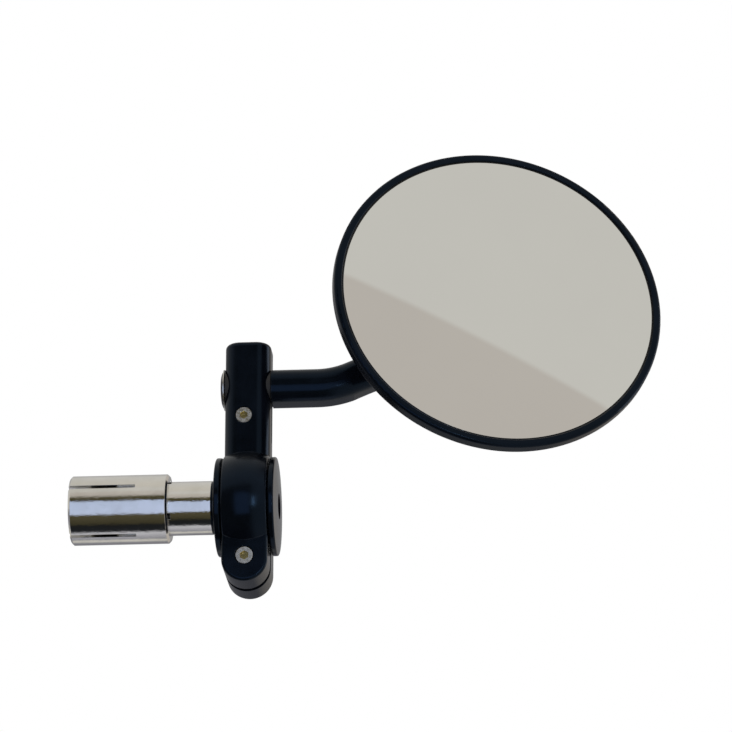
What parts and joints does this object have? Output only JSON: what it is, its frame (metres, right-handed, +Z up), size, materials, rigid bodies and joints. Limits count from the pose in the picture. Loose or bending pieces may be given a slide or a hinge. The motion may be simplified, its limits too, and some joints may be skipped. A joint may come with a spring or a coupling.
{
  "type": "bar-end mirror",
  "caption": "Round rear-view mirror on a bent arm, with a swivelling ball joint, a clamp ring with a post, and an expanding plug that fits inside a handlebar's open end.",
  "frame": {"origin": "on the handlebar's axis, in the plane of the bar's open end, where the hub's inner flange sits", "axes": "+X points outboard along the handlebar, +Z runs up the post at rest, and the mirror faces the rider towards -Y"},
  "size_m": [0.1417, 0.044, 0.1067],
  "materials": {
    "black_metal": "black anodised aluminium, semi-gloss",
    "black_gloss": "black plated, glossy",
    "black_plastic": "moulded black plastic",
    "white_plastic": "moulded bearing plastic",
    "chrome": "bright plated",
    "steel": "zinc-plated steel",
    "foam": "closed-cell foam tape",
    "mirror": "silvered glass, slightly convex"
  },
  "bodies": {
    "plug": {"hub_spool": "black_metal", "end_cap": "black_gloss", "bolt_washer": "steel", "expander_washer": "black_plastic", "expander": "chrome"},
    "sleeve": {"adapter_sleeve": "chrome"},
    "bolt": {"draw_bolt": "steel"},
    "wedge": {"wedge_nut": "steel"},
    "clamp": {"clamp_body": "black_metal", "clamp_liner": "black_plastic", "pinch_screw": "steel", "arm_pinch_screw": "steel", "pivot_bush": "black_plastic"},
    "arm": {"arm": "black_metal", "arm_washer": "steel", "arm_bolt": "black_gloss"},
    "stud": {"ball_stud": "steel", "stud_washer": "steel", "stud_locknut": "black_gloss"},
    "liner": {"socket_liner": "white_plastic"},
    "head": {"mirror_housing": "black_metal", "socket_retainer": "black_metal", "retainer_screws": "steel", "adhesive_pad": "foam", "mirror_glass": "mirror"}
  },
  "joints": [
    {"name": "sleeve_slide", "type": "slide", "parent": "plug", "child": "sleeve", "axis": [1, 0, 0], "range_m": [0, 0.0101]},
    {"name": "bolt_turn", "type": "hinge", "parent": "plug", "child": "bolt", "pos_m": [0, 0, 0], "axis": [-1, 0, 0], "range_deg": [0, 680]},
    {"name": "wedge_slide", "type": "slide", "parent": "plug", "child": "wedge", "axis": [1, 0, 0], "range_m": [0, 0.0019]},
    {"name": "clamp_swing", "type": "hinge", "parent": "plug", "child": "clamp", "pos_m": [0.0072, 0, 0], "axis": [1, 0, 0], "continuous": true},
    {"name": "arm_turn", "type": "hinge", "parent": "clamp", "child": "arm", "pos_m": [0.0129, 0, 0.02975], "axis": [1, 0, 0], "continuous": true},
    {"name": "stud_spin", "type": "hinge", "parent": "arm", "child": "stud", "pos_m": [0.06165, 0.00959, 0.04278], "axis": [0.2681, -0.9513, 0.1521], "continuous": true},
    {"name": "head_tilt", "type": "hinge", "parent": "stud", "child": "liner", "pos_m": [0.06495, -0.00211, 0.04465], "axis": [0.9625, 0.2712, 0], "range_deg": [-14, 14]},
    {"name": "head_pan", "type": "hinge", "parent": "liner", "child": "head", "pos_m": [0.06495, -0.00211, 0.04465], "axis": [-0.0412, 0.1464, 0.9884], "range_deg": [-14, 14]}
  ],
  "couplings": [
    {"joint": "wedge_slide", "follows": "bolt_turn", "m_per_rad": 0.00015915}
  ]
}
